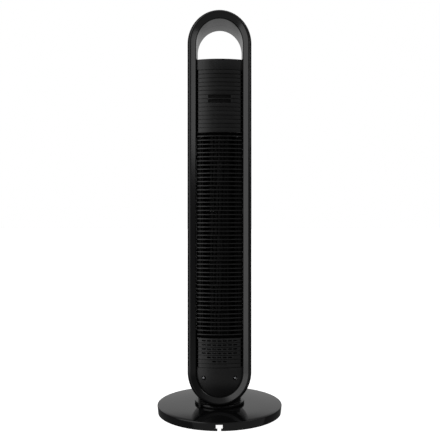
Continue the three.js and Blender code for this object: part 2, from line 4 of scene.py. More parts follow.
import bmesh
import bpy
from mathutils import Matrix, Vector


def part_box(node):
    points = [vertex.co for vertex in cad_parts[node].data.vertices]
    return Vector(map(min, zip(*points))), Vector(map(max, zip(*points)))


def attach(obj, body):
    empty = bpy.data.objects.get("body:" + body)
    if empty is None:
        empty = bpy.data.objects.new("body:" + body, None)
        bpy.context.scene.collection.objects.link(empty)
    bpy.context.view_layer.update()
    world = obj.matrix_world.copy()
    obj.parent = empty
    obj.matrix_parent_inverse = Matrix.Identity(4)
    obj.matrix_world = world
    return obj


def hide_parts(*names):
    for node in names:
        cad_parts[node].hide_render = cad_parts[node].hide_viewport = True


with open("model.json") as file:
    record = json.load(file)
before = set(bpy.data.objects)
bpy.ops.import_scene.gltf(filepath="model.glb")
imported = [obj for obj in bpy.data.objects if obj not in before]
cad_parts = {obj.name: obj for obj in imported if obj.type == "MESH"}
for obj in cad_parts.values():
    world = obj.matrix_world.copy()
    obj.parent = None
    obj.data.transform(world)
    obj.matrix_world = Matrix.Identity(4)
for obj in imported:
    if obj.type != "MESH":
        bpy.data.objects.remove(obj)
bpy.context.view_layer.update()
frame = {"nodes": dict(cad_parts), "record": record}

MM = 0.001

# ---- Dimensions, in millimetres. What the CAD model's boxes give is read from them ----


def box_mm(node):
    low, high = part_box(node)
    return low / MM, high / MM


ring_low, ring_high = box_mm("rear_housing")
front_low, front_high = box_mm("front_housing")
cover_low, cover_high = box_mm("rear_grille")
face_low, face_high = box_mm("control_panel")
deck_low, deck_high = box_mm("turntable")
base_low, base_high = box_mm("base_cover")

RING_R = ring_high.x
BACK_Y = ring_high.y
FRONT_Y = front_low.y
SEAM_BACK = ring_low.y
SEAM_FRONT = front_high.y
END_RISE = 4.4  # how much taller each end of the ring is than a half circle
LOW_C = ring_low.z + END_RISE + RING_R
HIGH_C = ring_high.z - END_RISE - RING_R
COVER_R = cover_high.x
GAP = 0.3  # clearance between neighbouring pieces
TUNNEL_R = COVER_R + GAP
BACK_APEX = cover_high.y
FRONT_APEX = -face_low.y
SHEET = 3.5  # a cover's thickness
UNDER_SHEET = 3.8  # how far in a piece sits that lies just under a cover
BOW = cover_high.y - cover_low.y - SHEET
BOW_R = (COVER_R ** 2 + BOW ** 2) / (2 * BOW)
FLOOR_Z = cover_high.z
BAR_PITCH = 9.79
FIRST_BAR_Z = 194.9
BARS = 49  # open bars; the ribbed panels above and below keep their pitch
TOP_BAR = BARS + 15
LOWEST_BAR = -8
PLAQUE_BAR = 57  # the bar that crosses the middle of the plaque
BAR_HALF = 1.1
GROOVE_HALF = 1.0
RIB_END = 50.2
RAIL_X = 53.7
PLAQUE_HALF = 26.8
SLOT_PITCH = 12.4
SLOT_HALF = 4.8  # half the width of a vent slot
SLOT_RISE = 1.6  # half its height
SCREW_X = 37.3
SCREW_Z = 91.4
SCREW_SEAT_Y = 39.6
ROLL_Z = 100  # below this height the foot of the back cover curls inwards
ROLL_R = 200
IMPELLER_Y = -3
BASE_FOOT_R = 149.5
SHARP = math.radians(38)  # edges sharper than this stay crisp, and can be beveled

# Profiles start this close to their axis, so that no face collapses to a point. A cut made with such
# a profile leaves a hair on the axis, as in the button holes, that is far too thin to be seen.
AXIS = 0.001


def bar_z(n):
    return FIRST_BAR_Z + BAR_PITCH * n


def vent_z(row):
    return bar_z(-1.5 - row)


# ---- Materials ----


def material(
    name, color, roughness, metallic=0.0, grain=None, smudge=0.04, wear=0.0, coat=0.0, ior=1.5
):
    """A moulded or metal surface: drifting roughness, a fine grain in the bump, paler worn edges."""
    mat = bpy.data.materials.new(name)
    mat.use_nodes = True
    nodes, links = mat.node_tree.nodes, mat.node_tree.links
    shader = nodes["Principled BSDF"]
    shader.inputs["Metallic"].default_value = metallic
    shader.inputs["IOR"].default_value = ior
    shader.inputs["Coat Weight"].default_value = coat
    shader.inputs["Coat Roughness"].default_value = 0.05
    place = nodes.new("ShaderNodeTexCoord")

    def noise(scale, detail=2.0):
        tex = nodes.new("ShaderNodeTexNoise")
        tex.inputs["Scale"].default_value = scale
        tex.inputs["Detail"].default_value = detail
        links.new(place.outputs["Object"], tex.inputs["Vector"])
        return tex.outputs["Fac"]

    def spread(source, low, high):
        remap = nodes.new("ShaderNodeMapRange")
        remap.inputs["To Min"].default_value = low
        remap.inputs["To Max"].default_value = high
        links.new(source, remap.inputs["Value"])
        return remap.outputs["Result"]

    drift = spread(noise(18, 4.0), roughness - smudge, roughness + smudge)
    links.new(drift, shader.inputs["Roughness"])
    tint = nodes.new("ShaderNodeMix")
    tint.data_type = "RGBA"
    tint.inputs["A"].default_value = (*color, 1)
    tint.inputs["B"].default_value = (*(min(1, 1.35 * c + 0.001) for c in color), 1)
    links.new(noise(45, 3.0), tint.inputs["Factor"])
    base = tint.outputs["Result"]
    if wear:
        edge = nodes.new("ShaderNodeNewGeometry")
        ramp = nodes.new("ShaderNodeMapRange")
        ramp.inputs["From Min"].default_value = 0.52
        ramp.inputs["From Max"].default_value = 0.62
        ramp.inputs["To Max"].default_value = wear
        links.new(edge.outputs["Pointiness"], ramp.inputs["Value"])
        worn = nodes.new("ShaderNodeMix")
        worn.data_type = "RGBA"
        worn.inputs["B"].default_value = (*(min(1, 3 * c + 0.02) for c in color), 1)
        links.new(base, worn.inputs["A"])
        links.new(ramp.outputs["Result"], worn.inputs["Factor"])
        base = worn.outputs["Result"]
    links.new(base, shader.inputs["Base Color"])
    if grain:
        scale, depth = grain
        bump = nodes.new("ShaderNodeBump")
        bump.inputs["Strength"].default_value = 0.6
        bump.inputs["Distance"].default_value = depth * MM
        links.new(noise(scale), bump.inputs["Height"])
        links.new(bump.outputs["Normal"], shader.inputs["Normal"])
    return mat


BLACK = (0.0052, 0.0052, 0.0056)
GLOSSY = (0.004, 0.004, 0.0044)
DULL = (0.0075, 0.0075, 0.0078)
DEEP = (0.0018, 0.0018, 0.0018)
SHADE_PAINT_TONE = (0.0015, 0.0015, 0.0015)
GLOSS = material("gloss_black", GLOSSY, 0.07, grain=(90, 0.02), smudge=0.025, wear=0.3)
SATIN = material("satin_black", BLACK, 0.21, grain=(2200, 0.004), smudge=0.03, wear=0.3)
FINE = material("fine_black", DULL, 0.34, grain=(2600, 0.005), smudge=0.03, wear=0.25)
INNER = material("inner_black", DEEP, 0.6, grain=(1500, 0.02), smudge=0.08, ior=1.25)
RUBBER = material("rubber", (0.010, 0.010, 0.010), 0.75, grain=(1400, 0.04), smudge=0.1)
PLATED = (0.55, 0.56, 0.58)
STEEL = material("plated_steel", PLATED, 0.3, 1.0, grain=(900, 0.01), smudge=0.08, wear=0.2)
IRON = material("cast_iron", (0.09, 0.09, 0.095), 0.62, 0.7, grain=(500, 0.09), smudge=0.12)
NYLON = material("nylon", (0.66, 0.64, 0.58), 0.45, grain=(900, 0.02), smudge=0.07)
BOARD = material("circuit_board", (0.012, 0.08, 0.035), 0.4, grain=(700, 0.03), smudge=0.1)
# Painted shade: a near-black that barely reflects, for pockets and borders that lie in shade.
SHADE_PAINT = material("painted_shade_black", SHADE_PAINT_TONE, 0.7, grain=(1500, 0.02), smudge=0.05, ior=1.06)
LENS = material("smoked_lens", (0.003, 0.003, 0.004), 0.05, grain=(60, 0.01), smudge=0.02, coat=0.5)

FINISH_OF_SLOT = {
    "gloss_black_plastic": GLOSS,
    "satin_black_plastic": SATIN,
    "fine_black_plastic": FINE,
    "inner_black_plastic": INNER,
    "smoked_lens": LENS,
    "black_rubber": RUBBER,
    "plated_steel": STEEL,
    "cast_weight": IRON,
    "white_nylon": NYLON,
    "circuit_board": BOARD,
}
SLOT_OF_NODE = {row["node"]: row["material_slot"] for row in frame["record"]["subparts"]}

# ---- Mesh building ----


class Shape:
    """Vertices in millimetres and faces, gathered from several closed forms."""

    def __init__(self):
        self.points = []
        self.faces = []

    def add(self, points, faces):
        start = len(self.points)
        self.points += points
        self.faces += [[start + i for i in face] for face in faces]
        return self

    def loops(self, loops, capped=False):
        """Skins closed loops of equal length. The first and last join unless they are capped."""
        count, around = len(loops), len(loops[0])
        faces = []
        for i in range(count - 1 if capped else count):
            for j in range(around):
                a, b = i * around, ((i + 1) % count) * around
                k = (j + 1) % around
                faces.append([a + j, a + k, b + k, b + j])
        if capped:
            faces += [list(range(around))[::-1], list(range((count - 1) * around, count * around))]
        return self.add([tuple(p) for loop in loops for p in loop], faces)


def object_of(name, shape, clean):
    """An object of a shape. clean merges doubled points and drops faces without area."""
    mesh = bpy.data.meshes.new(name)
    mesh.from_pydata([[c * MM for c in p] for p in shape.points], [], shape.faces)
    bm = bmesh.new()
    bm.from_mesh(mesh)
    if clean:
        bmesh.ops.remove_doubles(bm, verts=bm.verts, dist=1e-6)
        bmesh.ops.dissolve_degenerate(bm, edges=bm.edges, dist=1e-7)
    bmesh.ops.recalc_face_normals(bm, faces=bm.faces)
    bm.to_mesh(mesh)
    bm.free()
    obj = bpy.data.objects.new(name, mesh)
    bpy.context.scene.collection.objects.link(obj)
    return obj


def smooth(obj):
    obj.data.shade_smooth()
    obj.data.set_sharp_from_angle(angle=SHARP)


def piece(name, shape, body, mat, bevel=0.0, stands_for=()):
    obj = object_of(name, shape, clean=True)
    smooth(obj)
    obj.data.materials.append(mat)
    if bevel:
        add_bevel(obj, bevel)
    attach(obj, body)
    if stands_for:
        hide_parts(*stands_for)
    return obj


def add_bevel(obj, width, steps=2):
    mod = obj.modifiers.new("edges", "BEVEL")
    mod.width = width * MM
    mod.segments = steps
    mod.limit_method = "ANGLE"
    mod.angle_limit = SHARP
    mod.use_clamp_overlap = True
    mod.harden_normals = True


def cut(obj, shape, name):
    """Takes a closed shape out of obj, and bakes the result into its mesh."""
    tool = object_of(name, shape, clean=False)
    mod = obj.modifiers.new("cut", "BOOLEAN")
    mod.object = tool
    mod.operation = "DIFFERENCE"
    mod.solver = "EXACT"
    while obj.modifiers[0] != mod:
        with bpy.context.temp_override(object=obj):
            bpy.ops.object.modifier_move_up(modifier=mod.name)
    with bpy.context.temp_override(object=obj, active_object=obj, selected_objects=[obj]):
        bpy.ops.object.modifier_apply(modifier=mod.name)
    bpy.data.objects.remove(tool)
    smooth(obj)


def arc(cx, cy, r, start, end, steps):
    """Points of an arc, between two angles in degrees."""
    found = []
    for i in range(steps + 1):
        angle = math.radians(start + (end - start) * i / steps)
        found.append((cx + r * math.cos(angle), cy + r * math.sin(angle)))
    return found


def lathe(profile, x=0.0, y=0.0, sides=96, shape=None):
    """A closed profile of (radius, height) turned about a vertical axis."""
    turns = []
    for i in range(sides):
        angle = 2 * math.pi * i / sides
        turns.append([(x + r * math.cos(angle), y + r * math.sin(angle), z) for r, z in profile])
    return (shape or Shape()).loops(turns)


def lathe_y(profile, x, z, sides):
    """A closed profile of (radius, y) turned about an axis that runs along Y."""
    turns = []
    for i in range(sides):
        angle = 2 * math.pi * i / sides
        turns.append([(x + r * math.cos(angle), y, z + r * math.sin(angle)) for r, y in profile])
    return Shape().loops(turns)


def block(x0, x1, y0, y1, z0, z1):
    rect = [(x0, y0), (x1, y0), (x1, y1), (x0, y1)]
    return Shape().loops([[(x, y, z) for x, y in rect] for z in (z0, z1)], capped=True)


def stadium(r, steps=72):
    tall = (r + END_RISE) / r
    top = [(x, HIGH_C + z * tall) for x, z in arc(0, 0, r, 0, 180, steps)]
    return top + [(x, LOW_C + z * tall) for x, z in arc(0, 0, r, 180, 360, steps)]


def swept_ring(section):
    loops = [[(x, y, z) for x, z in stadium(r)] for r, y in section]
    return Shape().loops(loops)


# ---- The two housings of the ring ----
# The back one's foot has no opening for the pivot post, which passes through it out of sight.
CREST = RING_R - 8
WALL = 2.4


def rear_section():
    outer = [(RING_R, BACK_Y - 13), (RING_R - 0.5, BACK_Y - 8.6), (RING_R - 1.5, BACK_Y - 5.4)]
    outer += [(RING_R - 3, BACK_Y - 3), (RING_R - 5, BACK_Y - 0.9), (RING_R - 5.8, BACK_Y - 0.3)]
    outer += [(RING_R - 6.7, BACK_Y), (CREST - 0.4, BACK_Y - 0.1), (CREST - 1.1, BACK_Y - 0.5)]
    lip = arc(TUNNEL_R + 5, BACK_Y - 10.4, 5, 120, 180, 8)
    section = [(RING_R - 0.5, SEAM_BACK), (RING_R, SEAM_BACK + 0.5), *outer, *lip]
    inner = [(TUNNEL_R, SEAM_BACK), (TUNNEL_R + WALL, SEAM_BACK)]
    inner += [(TUNNEL_R + WALL, BACK_Y - 11), (CREST, BACK_Y - 4)]
    return section + inner + [(RING_R - WALL, BACK_Y - 12), (RING_R - WALL, SEAM_BACK)]


def front_section():
    outer = arc(RING_R - 7, FRONT_Y + 7, 7, 0, -90, 12)
    lip = arc(TUNNEL_R + 2, FRONT_Y + 3, 2, -110, -180, 6)
    section = [(RING_R - 0.5, SEAM_FRONT), (RING_R, SEAM_FRONT - 0.5), *outer, *lip]
    inner = [(TUNNEL_R, SEAM_FRONT), (TUNNEL_R + WALL, SEAM_FRONT)]
    inner += [(TUNNEL_R + WALL, FRONT_Y + 4.8), (CREST, FRONT_Y + 3)]
    return section + inner + [(RING_R - WALL, FRONT_Y + 9), (RING_R - WALL, SEAM_FRONT)]


piece("ring_back", swept_ring(rear_section()), "tower", SATIN, stands_for=["rear_housing"])
piece("ring_front", swept_ring(front_section()), "tower", SATIN, stands_for=["front_housing"])

# ---- Bowed covers, built cell by cell ----


def bowed(side, x, z, inset):
    """A point of a cover's sheet, inset from its outer surface.

    Low down both covers narrow with the ring, and the back one curls in.
    """
    apex = BACK_APEX if side > 0 else FRONT_APEX
    if z < LOW_C:
        x *= math.sqrt(max(0, 1 - ((LOW_C - z) / (COVER_R + END_RISE)) ** 2))
    y = apex - BOW_R + math.sqrt((BOW_R - inset) ** 2 - x ** 2)
    if side > 0 and z < ROLL_Z:
        y -= ROLL_R - math.sqrt(ROLL_R ** 2 - (ROLL_Z - z) ** 2)
    return (x, side * y, z)


def cell_sheet(side, xs, zs, level, depths):
    """A sheet of cells. level(x, z) picks a cell's inset out of depths, or None for an opening."""
    xs, zs = sorted(set(xs)), sorted(set(zs))
    columns, rows = len(xs) - 1, len(zs) - 1
    inner = len(depths) - 1
    grid = {}
    for i in range(columns):
        for j in range(rows):
            found = level((xs[i] + xs[i + 1]) / 2, (zs[j] + zs[j + 1]) / 2)
            if found is not None:
                grid[i, j] = depths.index(found)
    points, index, faces = [], {}, []

    def at(i, j, k):
        key = (i, j, k)
        if key not in index:
            index[key] = len(points)
            points.append(bowed(side, xs[i], zs[j], depths[k]))
        return index[key]

    def wall(a, b, k0, k1):
        for k in range(k0, k1):
            faces.append([at(*a, k), at(*b, k), at(*b, k + 1), at(*a, k + 1)])

    for (i, j), k in grid.items():
        corners = [(i, j), (i + 1, j), (i + 1, j + 1), (i, j + 1)]
        faces.append([at(*c, k) for c in corners])
        faces.append([at(*c, inner) for c in reversed(corners)])
        beside = [(i, j - 1), (i + 1, j), (i, j + 1), (i - 1, j)]
        for side_no, other in enumerate(beside):
            neighbour = grid.get(other, inner)
            if neighbour > k:
                wall(corners[side_no], corners[(side_no + 1) % 4], k, neighbour)
    return Shape().add(points, faces)


def round_foot():
    """Heights that divide a cover's round foot evenly along its edge."""
    return [LOW_C - (COVER_R + END_RISE) * math.sin(math.pi / 2 * i / 40) for i in range(41)]


def both_signs(values):
    return [s * v for v in values for s in (-1, 1)]


def even(start, end, count):
    return [start + (end - start) * i / count for i in range(count + 1)]


RIB, GROOVE, PLAQUE, WEB = 0.0, 2.4, 2.9, 3.1  # how deep each kind of cell lies
LOWER = range(LOWEST_BAR, -1)
VENT_ROWS = [7, 7, 7, 7, 5, 3]


def vent_row(z):
    """The number of slots in the row at z, or 0 between rows."""
    for row, count in enumerate(VENT_ROWS):
        if abs(z - vent_z(row)) < SLOT_RISE:
            return count
    return 0


def back_level(x, z):
    step = (z - FIRST_BAR_Z) / BAR_PITCH
    n = round(step)
    off = abs(z - bar_z(n))
    wide = abs(x)
    if -1 < step < BARS:
        if wide > RAIL_X:
            return WEB
        return RIB if off < BAR_HALF else None
    ribbed = BARS < step < TOP_BAR or LOWEST_BAR < step < -1
    if ribbed and wide > RIB_END:
        return GROOVE if off < GROOVE_HALF and wide < RAIL_X else WEB
    count = vent_row(z)
    if count:
        nearest = round(x / SLOT_PITCH)
        if abs(nearest) <= (count - 1) // 2 and abs(x - nearest * SLOT_PITCH) < SLOT_HALF:
            return None
    in_plaque = wide < PLAQUE_HALF and bar_z(PLAQUE_BAR - 1) < z < bar_z(PLAQUE_BAR + 1)
    if in_plaque and off > BAR_HALF:
        return PLAQUE
    grooved = BARS < n <= TOP_BAR or n in LOWER
    if grooved and off < GROOVE_HALF and not (in_plaque and n == PLAQUE_BAR):
        return GROOVE
    return RIB


def back_cover():
    xs = both_signs([0, 6, 12.4, 24.8, 37.2, 46, RIB_END, RAIL_X, COVER_R + 0.2, PLAQUE_HALF])
    xs += both_signs([abs(k * SLOT_PITCH + s * SLOT_HALF) for k in range(4) for s in (-1, 1)])
    zs = [bar_z(-1) + BAR_HALF, FLOOR_Z, FLOOR_Z - 8, bar_z(BARS) - BAR_HALF]
    for n in range(LOWEST_BAR, TOP_BAR + 1):
        zs += [bar_z(n) - BAR_HALF, bar_z(n) + BAR_HALF]
        if n in LOWER or n > BARS:
            zs += [bar_z(n) - GROOVE_HALF, bar_z(n) + GROOVE_HALF]
    for row in range(len(VENT_ROWS)):
        zs += [vent_z(row) - SLOT_RISE, vent_z(row) + SLOT_RISE]
    zs += [*round_foot(), 108]
    return cell_sheet(1, xs, zs, back_level, [RIB, GROOVE, PLAQUE, WEB, SHEET])


def painted_shade_plate():
    """A dark plate on the floor of the plaque, in two strips: painted shade that darkens the plaque's
    recess.
    """
    face, back, edge = 2.3, 2.8, 1.5
    middle = bar_z(PLAQUE_BAR)
    xs = even(-PLAQUE_HALF + 0.4, PLAQUE_HALF - 0.4, 16)
    zs = [bar_z(PLAQUE_BAR - 1) + edge, middle - edge, middle + edge, bar_z(PLAQUE_BAR + 1) - edge]
    return cell_sheet(1, xs, zs, lambda x, z: None if abs(z - middle) < edge else face, [face, back])


cover = piece(
    "back_cover", back_cover(), "tower", FINE, bevel=0.2, stands_for=["rear_grille"]
)
# The floors and deep walls of the pockets beside the ribs are darker than the rest: painted shade, in
# a near-black that barely reflects.
cover.data.materials.append(SHADE_PAINT)
for face in cover.data.polygons:
    deep = bowed(1, face.center.x / MM, LOW_C, WEB - 0.1)[1] * MM
    if abs(face.center.x) > RIB_END * MM and face.center.y < deep:
        face.material_index = 1
for side in (-1, 1):
    hole, seat_r = 1.9, 5.2
    start, end = SCREW_SEAT_Y - 12, SCREW_SEAT_Y + 14
    seat = [(AXIS, start), (hole, start), (hole, SCREW_SEAT_Y), (seat_r, SCREW_SEAT_Y)]
    seat += [(seat_r, end), (AXIS, end)]
    cut(cover, lathe_y(seat, side * SCREW_X, SCREW_Z, 40), "screw_seat")
# A dark sheet in the plaque's recess: painted shade.
piece("painted_shade_plate", painted_shade_plate(), "tower", INNER, stands_for=["rear_grille"])

# The upright ribs behind the bars, with a border that closes the photograph's view past
# the impeller. From 5 degrees above, a few pixels of backdrop still show through the tower.
GUIDE_BORDER_X = 43.5
GUIDE_BORDER_Z = 5
guide_low, guide_high = box_mm("inlet_guide")
guide_zs = [guide_low.z, guide_low.z + GUIDE_BORDER_Z, guide_high.z - GUIDE_BORDER_Z, guide_high.z]


def guide_level(x, z):
    wide = abs(x)
    strip = wide > GUIDE_BORDER_X or wide < 1 or abs(wide - 20) < 1 or abs(wide - 40) < 1
    return UNDER_SHEET if strip or not guide_zs[1] < z < guide_zs[2] else None


xs = both_signs([0, 1, 10, 19, 21, 30, 39, 41, GUIDE_BORDER_X, 49, 54.5])
guide = cell_sheet(1, xs, guide_zs, guide_level, [UNDER_SHEET, 6.8])
guide = piece(
    "inlet_ribs", guide, "tower", INNER, bevel=0.4, stands_for=["inlet_guide"]
)
# The borders above and below the open ribs get the near-black of painted shade.
guide.data.materials.append(SHADE_PAINT)
for face in guide.data.polygons:
    if not guide_zs[1] < face.center.z / MM < guide_zs[2]:
        face.material_index = 1

# ---- Front: louvres, control panel and lower panel ----
LOUVRES = 10
ROWS = 4
SIDE_MARGIN, END_MARGIN = 5, 4  # solid edges of the grille
LOUVRE_HALF = 1
CROSSBAR_HALF = 1.5
grille_low, grille_high = box_mm("front_grille")
louvre_wide = 2 * (COVER_R - SIDE_MARGIN) / LOUVRES
louvre_tall = (grille_high.z - grille_low.z - 2 * END_MARGIN) / ROWS


def louvre_level(x, z):
    across = (x + COVER_R - SIDE_MARGIN) / louvre_wide
    along = (z - grille_low.z - END_MARGIN) / louvre_tall
    if not (0 < across < LOUVRES and 0 < along < ROWS):
        return 0.0
    clear_x = LOUVRE_HALF < (across % 1) * louvre_wide < louvre_wide - LOUVRE_HALF
    clear_z = CROSSBAR_HALF < (along % 1) * louvre_tall < louvre_tall - CROSSBAR_HALF
    return None if clear_x and clear_z else 0.0


xs = [-COVER_R, COVER_R]
for i in range(LOUVRES + 1):
    centre = -COVER_R + SIDE_MARGIN + louvre_wide * i
    xs += [centre - LOUVRE_HALF, centre, centre + LOUVRE_HALF]
zs = [grille_low.z, grille_high.z]
for i in range(ROWS + 1):
    centre = grille_low.z + END_MARGIN + louvre_tall * i
    zs += [centre - CROSSBAR_HALF, centre + CROSSBAR_HALF]
louvres = cell_sheet(-1, xs, zs, louvre_level, [0.0, SHEET])
piece("front_louvres", louvres, "tower", FINE, bevel=0.5, stands_for=["front_grille"])



def plain_sheet(zs):
    return cell_sheet(-1, even(-COVER_R, COVER_R, 32), zs, lambda x, z: 0.0, [0.0, SHEET])


CUT_FROM, CUT_TO = -70, -20  # in Y, well past both faces of the panel
panel = plain_sheet([face_low.z, face_high.z])
panel = piece(
    "control_face", panel, "tower", GLOSS, bevel=0.3, stands_for=["control_panel"]
)
lens_low, lens_high = box_mm("display_lens")
lens_x, lens_z = (lens_low.x - GAP, lens_high.x + GAP), (lens_low.z - GAP, lens_high.z + GAP)
cut(panel, block(*lens_x, CUT_FROM, CUT_TO, *lens_z), "lens_hole")

lower = plain_sheet([bar_z(-1) - 0.15, *round_foot()])
piece("lower_face", lower, "tower", FINE, bevel=0.3, stands_for=["lower_front_panel"])

HOLE_R = 7.35  # of a button's hole in the panel
for name in ("power_button", "speed_button", "timer_button", "swing_button"):
    low, high = box_mm(name)
    z = (low.z + high.z) / 2
    hole = [(AXIS, CUT_FROM), (HOLE_R, CUT_FROM), (HOLE_R, CUT_TO), (AXIS, CUT_TO)]
    cut(panel, lathe_y(hole, 0, z, 64), "button_hole")
    face = low.y
    dish = [(AXIS, face + 0.7), (2.5, face + 0.55), (4.6, face + 0.2)]
    edge = arc(6.4, face + 0.6, 0.6, -90, 0, 4)
    skirt = [(7, face + 5.8), (8.5, face + 5.8), (8.5, face + 7.3)]
    stem = [(2, face + 7.3), (2, high.y), (AXIS, high.y)]
    cap = lathe_y(dish + edge + skirt + stem, 0, z, 64)
    piece(name + "_cap", cap, name, SATIN, stands_for=[name])

# ---- The floor of the carrying opening, with a filleted corner on each side ----


def handle_floor():
    bottom = box_mm("handle_floor")[0].z
    fillet = 5
    corner = [(COVER_R - x, FLOOR_Z + z) for x, z in arc(fillet, fillet, fillet, 180, 270, 8)]
    middle = even(-COVER_R + fillet, COVER_R - fillet, 24)[1:-1]
    top = corner + [(x, FLOOR_Z) for x in reversed(middle)] + [(-x, z) for x, z in reversed(corner)]
    points, faces = [], []
    count = len(top)
    for x, z in top:
        back = bowed(1, x, z, UNDER_SHEET)[1]
        front = bowed(-1, x, z, UNDER_SHEET)[1]
        points += [(x, back, z), (x, front, z), (x, front, bottom), (x, back, bottom)]
    for i in range(count - 1):
        a, b = 4 * i, 4 * (i + 1)
        for k in range(4):
            faces.append([a + k, a + (k + 1) % 4, b + (k + 1) % 4, b + k])
    faces += [[0, 1, 2, 3], [4 * count - 1, 4 * count - 2, 4 * count - 3, 4 * count - 4]]
    return Shape().add(points, faces)


piece("carry_floor", handle_floor(), "tower", SATIN, bevel=0.4, stands_for=["handle_floor"])

# ---- Impeller: thin curved blades between discs ----
BLADES = 26
SEGMENTS = 8
BLADE_R, BLADE_HALF = 9, 0.4  # a blade's curve, and half its thickness
SKEW = 0.31  # how far each segment's blades are turned past the last one's, in blades
impeller_low, impeller_high = box_mm("impeller_segment_1")
SEGMENT_PITCH = box_mm("impeller_segment_2")[0].z - impeller_low.z
IMPELLER_R = impeller_high.x


def impeller():
    shape = Shape()
    for segment in range(SEGMENTS + 1):
        z = impeller_low.z + SEGMENT_PITCH * segment
        inner = 8 if segment < SEGMENTS else 5
        rim = [(inner, z), (IMPELLER_R - 0.5, z), (IMPELLER_R, z + 0.5), (IMPELLER_R, z + 1.5)]
        rim += [(IMPELLER_R - 0.5, z + 2), (inner, z + 2)]
        lathe(rim, 0, IMPELLER_Y, 72, shape)
        if segment == SEGMENTS:
            continue
        for blade in range(BLADES):
            turn = 2 * math.pi * (blade + SKEW * segment) / BLADES
            section = []
            for r, sign in ((BLADE_R + BLADE_HALF, 1), (BLADE_R - BLADE_HALF, -1)):
                line = arc(0, 0, r, -62, 10, 6)
                section += line if sign > 0 else line[::-1]
            placed = []
            for x, y in section:
                x += IMPELLER_R - 10.6
                y += 4
                across = x * math.cos(turn) - y * math.sin(turn)
                placed.append((across, IMPELLER_Y + x * math.sin(turn) + y * math.cos(turn)))
            loops = [[(x, y, h) for x, y in placed] for h in (z + 1.6, z + SEGMENT_PITCH - 0.1)]
            shape.loops(loops, capped=True)
    return shape


wheel = [f"impeller_segment_{i}" for i in range(1, SEGMENTS + 1)] + ["impeller_end_disc"]
piece("impeller_wheel", impeller(), "impeller", INNER, stands_for=wheel)

# ---- Screws, with a rounded head and a cross recess ----
for name in ("rear_screw_left", "rear_screw_right"):
    low, high = box_mm(name)
    x, z = (low.x + high.x) / 2, (low.z + high.z) / 2
    seat = high.y - 2.4
    dome = [(r, seat + 0.9 + y) for r, y in arc(1.6, 0, 1.5, 90, 0, 6)]
    shank = [(3.1, seat), (1.5, seat), (1.5, low.y), (AXIS, low.y)]
    shape = lathe_y([(AXIS, high.y), *dome, *shank], x, z, 40)
    screw = piece(name + "_head", shape, "tower", STEEL, stands_for=[name])
    long, thin, depth = 1.8, 0.35, (high.y - 1.2, high.y + 1)
    cut(screw, block(x - long, x + long, *depth, z - thin, z + thin), "slot_a")
    cut(screw, block(x - thin, x + thin, *depth, z - long, z + long), "slot_b")

# ---- Base, neck and turntable ----
BASE_R = base_high.x
BASE_TOP = 19.7  # at the rim
BASE_CROWN = base_high.z
BASE_LIFT = base_low.z


def base_disc():
    inner = 9.3
    edge = arc(BASE_R - 1.1, BASE_TOP - 1.1, 1.1, 0, 90, 6)
    foot = arc(BASE_FOOT_R - 0.6, BASE_LIFT + 0.6, 0.6, -90, 0, 4)
    under = [(inner, BASE_TOP - 3), (BASE_R - 4, BASE_TOP - 3), (BASE_FOOT_R - 3, BASE_LIFT)]
    rise = BASE_CROWN - BASE_TOP
    crown = [(149 - 87 * t, BASE_TOP + rise * (1 - (1 - t) ** 2)) for t in even(0.1, 1, 9)]
    return lathe(under + foot + edge + crown + [(inner, BASE_CROWN)], sides=256)


disc = piece("base_disc", base_disc(), "base", GLOSS, stands_for=["base_cover"])
cut(disc, block(-7.5, 7.5, 130, 160, 6.1, 15.2), "notch")
cut(disc, block(-4.1, 4.1, 130, 160, -1, 7), "notch_mouth")

low, high = box_mm("neck_collar")
collar = [(30, low.z), (high.x, low.z), *arc(high.x - 0.5, high.z - 0.5, 0.5, 0, 90, 3), (30, high.z)]
piece("neck_ring", lathe(collar, sides=128), "base", SATIN, stands_for=["neck_collar"])


CRADLE_R = 52  # the upright wall that the ring's round foot sits in
BORE_R = 9.35  # round the pivot post
FLANGE_TOP = 29


def turntable():
    r, z0 = deck_high.x, deck_low.z
    rim = [(r - 1, z0), *arc(r - 0.9, z0 + 0.9, 0.9, -60, 0, 3)]
    rim += arc(r - 1.1, FLANGE_TOP - 1.1, 1.1, 0, 90, 5)
    cradle = [(CRADLE_R + 0.6, FLANGE_TOP), (CRADLE_R, FLANGE_TOP + 0.6), (CRADLE_R, 50)]
    return lathe([(BORE_R, z0), *rim, *cradle, (BORE_R, 50)], sides=128)


deck = piece("turntable_disc", turntable(), "tower", SATIN, stands_for=["turntable"])
foot = [[(x, y, z) for x, z in stadium(RING_R + GAP)] for y in (-70, 70)]
cut(deck, Shape().loops(foot, capped=True), "ring_seat")
hub_foot = deck_low.z + 0.6
hub = [(BORE_R, 30), (BORE_R, hub_foot), (13, hub_foot), (13, deck_high.z), (BORE_R, deck_high.z)]
piece("turntable_hub", lathe(hub, sides=64), "tower", SATIN, stands_for=["turntable"])

low, high = box_mm("cord_gland")
x, y, r = (low.x + high.x) / 2, (low.y + high.y) / 2, (high.x - low.x) / 2
relief = [(AXIS, low.z), (2.8, low.z), (3.1, low.z + 0.4)]
for ring in range(4):
    z = low.z + 1.4 + 2.1 * ring
    relief += [(3.1, z), (r - 0.1, z + 0.2), (r - 0.1, z + 1.2), (3.1, z + 1.4)]
relief += [(r, low.z + 10), (r, high.z), (AXIS, high.z)]
relief = lathe(relief, x, y, 40)
piece("strain_relief", relief, "tower", RUBBER, stands_for=["cord_gland"])

for i in range(1, 5):
    low, high = box_mm(f"foot_{i}")
    x, y = (low.x + high.x) / 2, (low.y + high.y) / 2
    sole = [(AXIS, 0.25), (5.6, 0.25), (6.2, 0), (8.4, 0), (9, 0.35), (9, 1)]
    pad = lathe([*sole, (2.9, 1), (2.9, 4.4), (AXIS, 4.4)], x, y, 48)
    piece(f"foot_pad_{i}", pad, "base", RUBBER, stands_for=[f"foot_{i}"])

